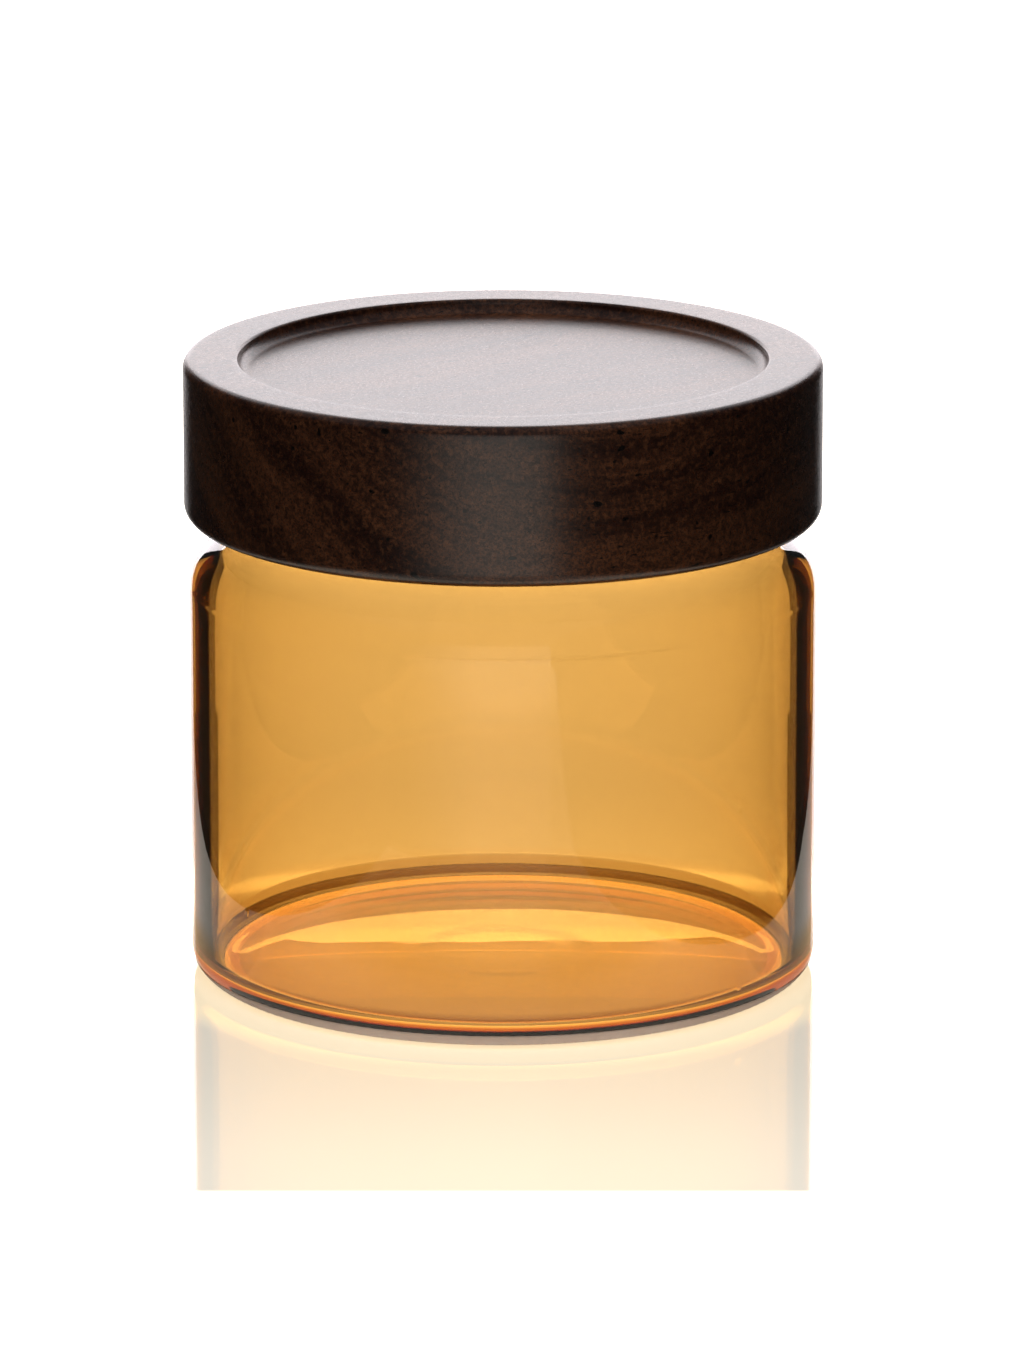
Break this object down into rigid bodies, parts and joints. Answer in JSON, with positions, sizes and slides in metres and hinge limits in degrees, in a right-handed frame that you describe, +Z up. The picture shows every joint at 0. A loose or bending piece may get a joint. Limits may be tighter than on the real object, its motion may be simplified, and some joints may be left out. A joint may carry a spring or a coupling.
{
  "type": "apothecary jar",
  "caption": "Straight-sided amber glass storage jar with a rounded shoulder, closed by a dished, dark hardwood lid that lifts off and turns on a soft seal ring.",
  "frame": {"origin": "centre of the jar's base, on the surface it stands on", "axes": "+Z up along the axis of revolution; X and Y are level"},
  "size_m": [0.1, 0.1, 0.0985],
  "materials": {
    "amber_glass": "clear amber, fire polished",
    "dark_wood": "dark stained, satin",
    "clear_silicone": "translucent, soft satin"
  },
  "bodies": {
    "jar": {"jar": "amber_glass"},
    "seal_ring": {"seal_ring": "clear_silicone"},
    "lid": {"lid": "dark_wood"}
  },
  "joints": [
    {"name": "lid_lift", "type": "slide", "parent": "jar", "child": "seal_ring", "axis": [0, 0, 1], "range_m": [0, 0.06]},
    {"name": "lid_turn", "type": "hinge", "parent": "seal_ring", "child": "lid", "pos_m": [0, 0, 0.0733], "axis": [0, 0, 1], "continuous": true}
  ]
}
